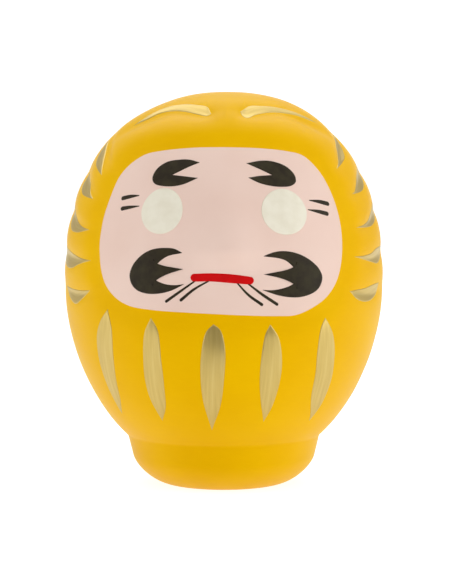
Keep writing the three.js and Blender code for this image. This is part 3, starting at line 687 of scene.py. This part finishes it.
shell_half("front_half", "shell_front", -90, 90, 240)
shell_half("rear_half", "shell_rear", 90, 270, 120)


# ---- coats of paint -------------------------------------------------------------------------
def film(name, node_name, first, second, across, lift, material, slot, base=0.0):
    """A coat of paint ruled between two edge lines of equal count. Its top stands lift
    above the shell, rounding down to its edges; its underside lies just below the
    surface it is painted on, so the coat is closed all round."""
    count = len(first)
    t = np.linspace(0, 1, across)
    spread = (1 - np.cos(math.pi * t)) / 2 * EDGE_CROWDING + t * (1 - EDGE_CROWDING)
    line = first[:, None, :] + (second - first)[:, None, :] * spread[None, :, None]
    around, up = line[..., 0], line[..., 1]
    width = np.linalg.norm(on_body(second) - on_body(first), axis=1)[:, None]
    from_edge = np.minimum(spread, 1 - spread)[None, :] * width
    steps = np.linalg.norm(np.diff(on_body((first + second) / 2), axis=0), axis=1)
    length = np.concatenate([[0], np.cumsum(steps)])
    rounding = 1 - (1 - np.clip(from_edge / (EDGE_ROUND * lift), 0, 1)) ** 2
    height = base + lift * rounding - COAT_FOOT * (from_edge < 1e-9)
    top = painted(around, up, height)
    bottom = painted(around, up, base - COAT_FOOT)
    bottom[:, 0] = top[:, 0]
    bottom[:, -1] = top[:, -1]
    points = np.vstack([top.reshape(-1, 3), bottom.reshape(-1, 3)])
    faces = np.vstack([grid_faces(count, across), grid_faces(count, across, count * across, flip=True)])
    ends = []
    for i in (0, count - 1):
        a = np.arange(across - 1) + i * across
        quad = np.stack([a, a + 1, a + 1 + count * across, a + count * across], axis=1)
        ends.append(quad if i == 0 else quad[:, ::-1])
    faces = np.vstack([faces, *ends])
    u = np.repeat(length[:, None], across, axis=1)
    v = (spread[None, :] - 0.5) * width + 5.0
    uv = np.stack([u, v], axis=-1).reshape(-1, 2) / 100
    obj = piece(name, points, faces, np.vstack([uv, uv]))
    return finish_piece(obj, node_name, material)


def resampled(line, count, ease=0.0):
    """Points at equal shares of the line's length over the body; ease crowds them
    towards both ends."""
    at = on_body(line)
    length = np.concatenate([[0], np.cumsum(np.linalg.norm(np.diff(at, axis=0), axis=1))])
    share = np.linspace(0, 1, count)
    share = share * (1 - ease) + (1 - np.cos(math.pi * share)) / 2 * ease
    return np.stack([np.interp(share * length[-1], length, line[:, i]) for i in (0, 1)], axis=1)


def bar_edges(middle, count):
    """Both long edges of a bar with round ends, from the middle of one end to the
    middle of the other. The middle line is a curve through points with half widths."""
    line = spline(middle, 8)
    r = float(profile_radius(line[:, 1].mean() / 100 * HEIGHT))
    at = np.stack([np.radians(line[:, 0]) * r, line[:, 1] / 100 * HEIGHT], axis=1)
    heading = np.gradient(at, axis=0)
    heading /= np.linalg.norm(heading, axis=1, keepdims=True)
    aside = np.stack([-heading[:, 1], heading[:, 0]], axis=1)
    width = line[:, 2:]
    turn = np.linspace(0, math.pi / 2, count)[:, None]
    edges = []
    for sign in (1, -1):
        cap0 = at[0] + width[0] * (sign * aside[0] * np.sin(turn) - heading[0] * np.cos(turn))
        cap1 = at[-1] + width[-1] * (sign * aside[-1] * np.cos(turn) + heading[-1] * np.sin(turn))
        flat = np.vstack([cap0, (at + sign * aside * width)[1:-1], cap1])
        edges.append(np.stack([np.degrees(flat[:, 0] / r), flat[:, 1] / HEIGHT * 100], axis=1))
    return edges


film("pink_face_coat", "face_coat", resampled(spline(FACE_LEFT, 12), 200, 0.6),
     resampled(spline(FACE_RIGHT, 12), 200, 0.6), 150, FACE_LIFT, FACE, "face_paint")

for name, (around, up, half_around, half_up) in EYES.items():
    turn = np.linspace(0, math.pi, 64)
    upper = np.stack([around + half_around * np.cos(turn), up + half_up * np.sin(turn)], axis=1)
    lower = np.stack([around + half_around * np.cos(turn), up - half_up * np.sin(turn)], axis=1)
    film(f"{name}_oval", name, upper, lower, 48, EYE_LIFT, EYE, "eye_paint", FACE_LIFT)

for name, (outer, *inner) in INKS.items():
    per_run = 72 // len(inner)
    notch = [resampled(spline(run, 12), per_run + 1)[:per_run] for run in inner]
    notch = np.vstack([*notch, [inner[-1][-1]]])
    back = resampled(spline(outer, 12), len(notch))
    film(f"{name}_ink", name, back, notch, 24, INK_LIFT, INK, "black_ink", FACE_LIFT)

for name, middle in BARS.items():
    upper, lower = bar_edges(middle, 10)
    is_mouth = name == "mouth"
    lift, material, slot = (INK_LIFT, RED, "red_lacquer") if is_mouth else (LINE_LIFT, INK, "black_ink")
    film(f"{name}_line", name, upper, lower, 14, lift, material, slot, FACE_LIFT)

for name, (first, second) in GOLD.items():
    edges = [resampled(spline(edge, 12), 96) for edge in (first, second)]
    film(f"{name}_gold", name, *edges, 28, STROKE_LIFT, GOLD_PAINT, "gold_paint")


# ---- disc under the foot, clay and paper strips inside ---------------------------------------
def turned_piece(name, node_name, outline, material, sides=160):
    """A profile of (radius, height) pairs turned about the axis, closed at both poles."""
    outline = np.asarray(outline, float)
    around, index = np.meshgrid(np.linspace(0, 360, sides + 1), np.arange(len(outline)))
    points = place(around, outline[index, 0], outline[index, 1])
    obj = piece(name, points.reshape(-1, 3), grid_faces(*index.shape).tolist())
    mark_flat(obj)
    return finish_piece(obj, node_name, material)


disc_radius = OPENING_DIA / 2 - DISC_GAP
turned_piece("foot_disc", "base_disc", [(0, 0), (disc_radius - DISC_ROUND, 0), (disc_radius - 0.07, 0.07),
                                         (disc_radius, DISC_ROUND), (disc_radius, DISC_THICKNESS - 0.1),
                                         (disc_radius - 0.1, DISC_THICKNESS), (0, DISC_THICKNESS)],
             CARD)

for name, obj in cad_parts.items():
    if name.startswith("seam_strip") or name == "base_weight":
        obj.data.materials.clear()
        obj.data.materials.append(CLAY if name == "base_weight" else PAPER)


# ---- floor, light and camera --------------------------------------------------------------------
def sheet(name, low, high, z, material):
    """A level sheet lying between two corners (x, y) at a height, in metres. It is not parented to the
    part's body."""
    corners = [(low[0], low[1], z), (high[0], low[1], z), (high[0], high[1], z), (low[0], high[1], z)]
    mesh = bpy.data.meshes.new(name)
    mesh.from_pydata(corners, [], [(0, 1, 2, 3)])
    mesh.materials.append(material)
    obj = bpy.data.objects.new(name, mesh)
    bpy.context.scene.collection.objects.link(obj)
    return obj


FLOOR_GLOW_ON_DOLL = 0.64
FLOOR_GLOW_SEEN = 0.85
# seamless paper, lit from beneath so that it looks as white as the sheet behind
floor_paper, floor_tree, floor_surface, _ = new_material("pale_seamless_paper", {
    "Base Color": colour("b4b4b4"), "Roughness": 0.9, "Specular IOR Level": 0.1,
    "Emission Color": (1.0, 1.0, 1.0, 1.0)})
floor_seen = node(floor_tree, "ShaderNodeLightPath", {}, {})["Is Camera Ray"]
glow = {"data_type": "FLOAT", "A": FLOOR_GLOW_ON_DOLL, "B": FLOOR_GLOW_SEEN}
floor_glow = node(floor_tree, MIX, glow, {"Factor": floor_seen})
floor_tree.links.new(floor_glow["Result"], floor_surface["Emission Strength"])
sheet("floor", (-6.0, -6.0), (6.0, 6.0), 0.0, floor_paper)

# black cloth in front of the doll: the gold mirrors it as a dark patch near its top;
# it shows in reflections only, so it takes no light off the floor or the face
flag_cloth, _, _, _ = new_material("black_flag_cloth", {"Base Color": colour("0a0a0a"), "Roughness": 1.0})
flag = sheet("black_flag", (-0.07, -0.60), (0.07, -0.115), 0.001, flag_cloth)
flag.visible_camera = False
flag.visible_diffuse = False
flag.visible_shadow = False


world = bpy.data.worlds.new("light_tent")
bpy.context.scene.world = world
world.use_nodes = True
tent = world.node_tree
heading = node(tent, "ShaderNodeTexCoord", {}, {})["Generated"]
# a dark opening ahead of the doll, pale walls at the sides and a bright sheet behind
ahead = node(tent, "ShaderNodeVectorMath", {"operation": "DOT_PRODUCT", 1: (0.0, -0.99, 0.12)},
             {0: heading})["Value"]
opening = node(tent, RANGE, {
    "From Min": 0.45, "From Max": 0.92, "To Min": 0.50, "To Max": 0.06,
    "interpolation_type": "SMOOTHSTEP"}, {"Value": ahead})["Result"]
backdrop = node(tent, RANGE, {
    "From Min": -0.82, "From Max": -0.97, "To Min": 0.0, "To Max": 0.9,
    "interpolation_type": "SMOOTHSTEP"}, {"Value": ahead})["Result"]
walls = node(tent, MATHS, {"operation": "ADD"}, {0: opening, 1: backdrop})["Value"]
seen = node(tent, "ShaderNodeLightPath", {}, {})["Is Camera Ray"]
shown = node(tent, MIX, {"data_type": "FLOAT", "B": 1.2}, {"Factor": seen, "A": walls})["Result"]
background = tent.nodes["Background"].inputs
background["Color"].default_value = (1, 1, 1, 1)
tent.links.new(shown, background["Strength"])


def soft_box(name, at, side, power):
    """A square area light aimed at the middle of the doll."""
    light = bpy.data.lights.new(name, "AREA")
    light.size = side
    light.energy = power
    box = bpy.data.objects.new(name, light)
    box.location = at
    box.rotation_euler = (Vector((0, 0, 0.05)) - Vector(at)).to_track_quat("-Z", "Y").to_euler()
    bpy.context.scene.collection.objects.link(box)


# where each box stands, the length of its side in metres and its power in watts
SOFT_BOXES = {
    "soft_box_right": ((1.0, -0.35, 0.30), 0.7, 3.5),
    "soft_box_left": ((-1.0, -0.30, 0.30), 0.7, 2.0),
    "soft_box_top": ((0.0, 0.42, 1.0), 1.2, 6.7),
    "soft_box_front": ((0.0, -0.75, 0.80), 0.7, 2.0),
}
for name, (at, side, power) in SOFT_BOXES.items():
    soft_box(name, at, side, power)

LENS = 132.2
CAMERA_DISTANCE = 0.55
CAMERA_UP = math.radians(4.0)
HALF_HEIGHT = HEIGHT / 2 * MM
camera_data = bpy.data.cameras.new("camera")
camera_data.sensor_width = 36
camera_data.lens = LENS
camera_data.clip_end = 50
camera = bpy.data.objects.new("camera", camera_data)
camera_z = HALF_HEIGHT + CAMERA_DISTANCE * math.sin(CAMERA_UP)
camera.location = (0, -CAMERA_DISTANCE * math.cos(CAMERA_UP), camera_z)
aim = Vector((0.00055, 0, 0.04887)) - camera.location
camera.rotation_euler = aim.to_track_quat("-Z", "Y").to_euler()
bpy.context.scene.collection.objects.link(camera)
bpy.context.scene.camera = camera
bpy.context.scene.view_settings.view_transform = "Standard"
